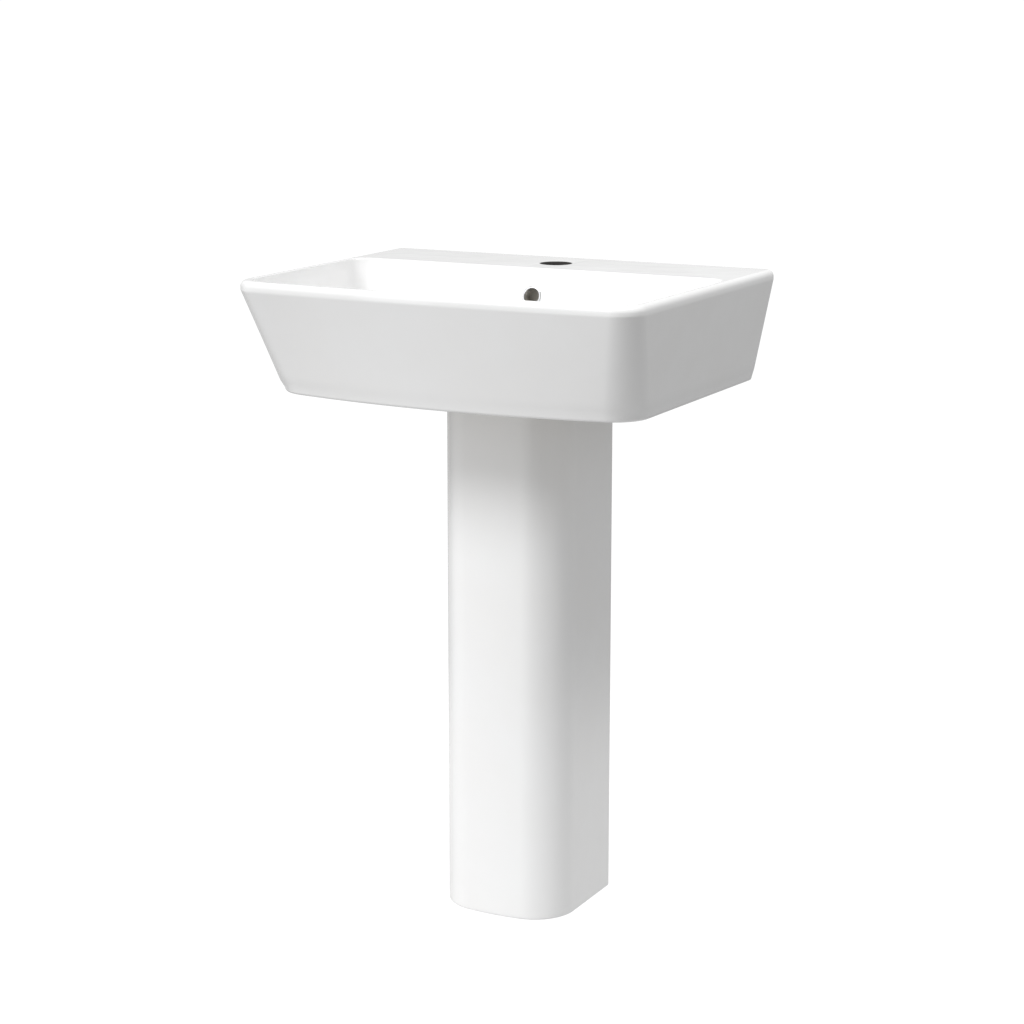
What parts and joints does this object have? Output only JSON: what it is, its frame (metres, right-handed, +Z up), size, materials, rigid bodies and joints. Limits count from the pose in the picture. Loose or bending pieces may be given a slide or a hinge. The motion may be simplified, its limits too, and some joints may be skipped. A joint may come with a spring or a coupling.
{
  "type": "pedestal sink",
  "caption": "Rectangular ceramic wash basin with leaning sides, a tap ledge and a ringed overflow, on a slim hollow pedestal, with a push-button waste and a bottle trap inside.",
  "frame": {"origin": "on the floor, below the middle of the whole sink's plan", "axes": "+Z up, +Y towards the wall, +X to the right of a person who faces the wall"},
  "size_m": [0.55, 0.425, 0.83],
  "materials": {
    "glazed_white": "white gloss glaze",
    "chrome": "polished chrome plate",
    "brass": "plain turned brass",
    "spring_steel": "drawn stainless wire",
    "rubber": "matt black rubber",
    "nylon": "natural nylon",
    "grey_plastic": "moulded grey plastic",
    "white_plastic": "satin white plastic"
  },
  "bodies": {
    "sink": {"basin": "glazed_white", "pedestal": "glazed_white", "overflow_ring": "chrome", "wall_bolt_collars": "nylon", "waste_body": "chrome", "waste_flange_seal": "rubber", "waste_cone_seal": "rubber", "waste_slip_washer": "nylon", "waste_backnut": "brass", "plug_spring": "spring_steel", "plug_cartridge": "grey_plastic", "plug_cartridge_cap": "grey_plastic", "trap_inlet_nut": "white_plastic", "trap_inlet_seal": "rubber", "trap_dip_tube": "white_plastic", "trap_neck_nut": "white_plastic", "trap_neck_seal": "rubber", "trap_body": "white_plastic", "trap_outlet_nut": "white_plastic", "trap_outlet_seal": "rubber", "waste_pipe": "white_plastic"},
    "plug": {"plug_cap": "chrome", "plug_seal": "rubber", "plug_stem": "brass"},
    "cup_seal": {"trap_cup_seal": "rubber"},
    "cup": {"trap_cup": "white_plastic"}
  },
  "joints": [
    {"name": "plug_slide", "type": "slide", "parent": "sink", "child": "plug", "axis": [0, 0, 1], "range_m": [-0.008, 0], "stiffness_N_per_m": 400, "springref_m": 0.004, "deforming": ["plug_spring"]},
    {"name": "cup_lower", "type": "slide", "parent": "sink", "child": "cup_seal", "axis": [0, 0, -1], "range_m": [0, 0.012]},
    {"name": "cup_turn", "type": "hinge", "parent": "cup_seal", "child": "cup", "pos_m": [0, 0.015, 0.5], "axis": [0, 0, -1], "range_deg": [0, 1441]}
  ],
  "couplings": [
    {"joint": "cup_turn", "follows": "cup_lower", "rad_per_m": 2094.4}
  ]
}
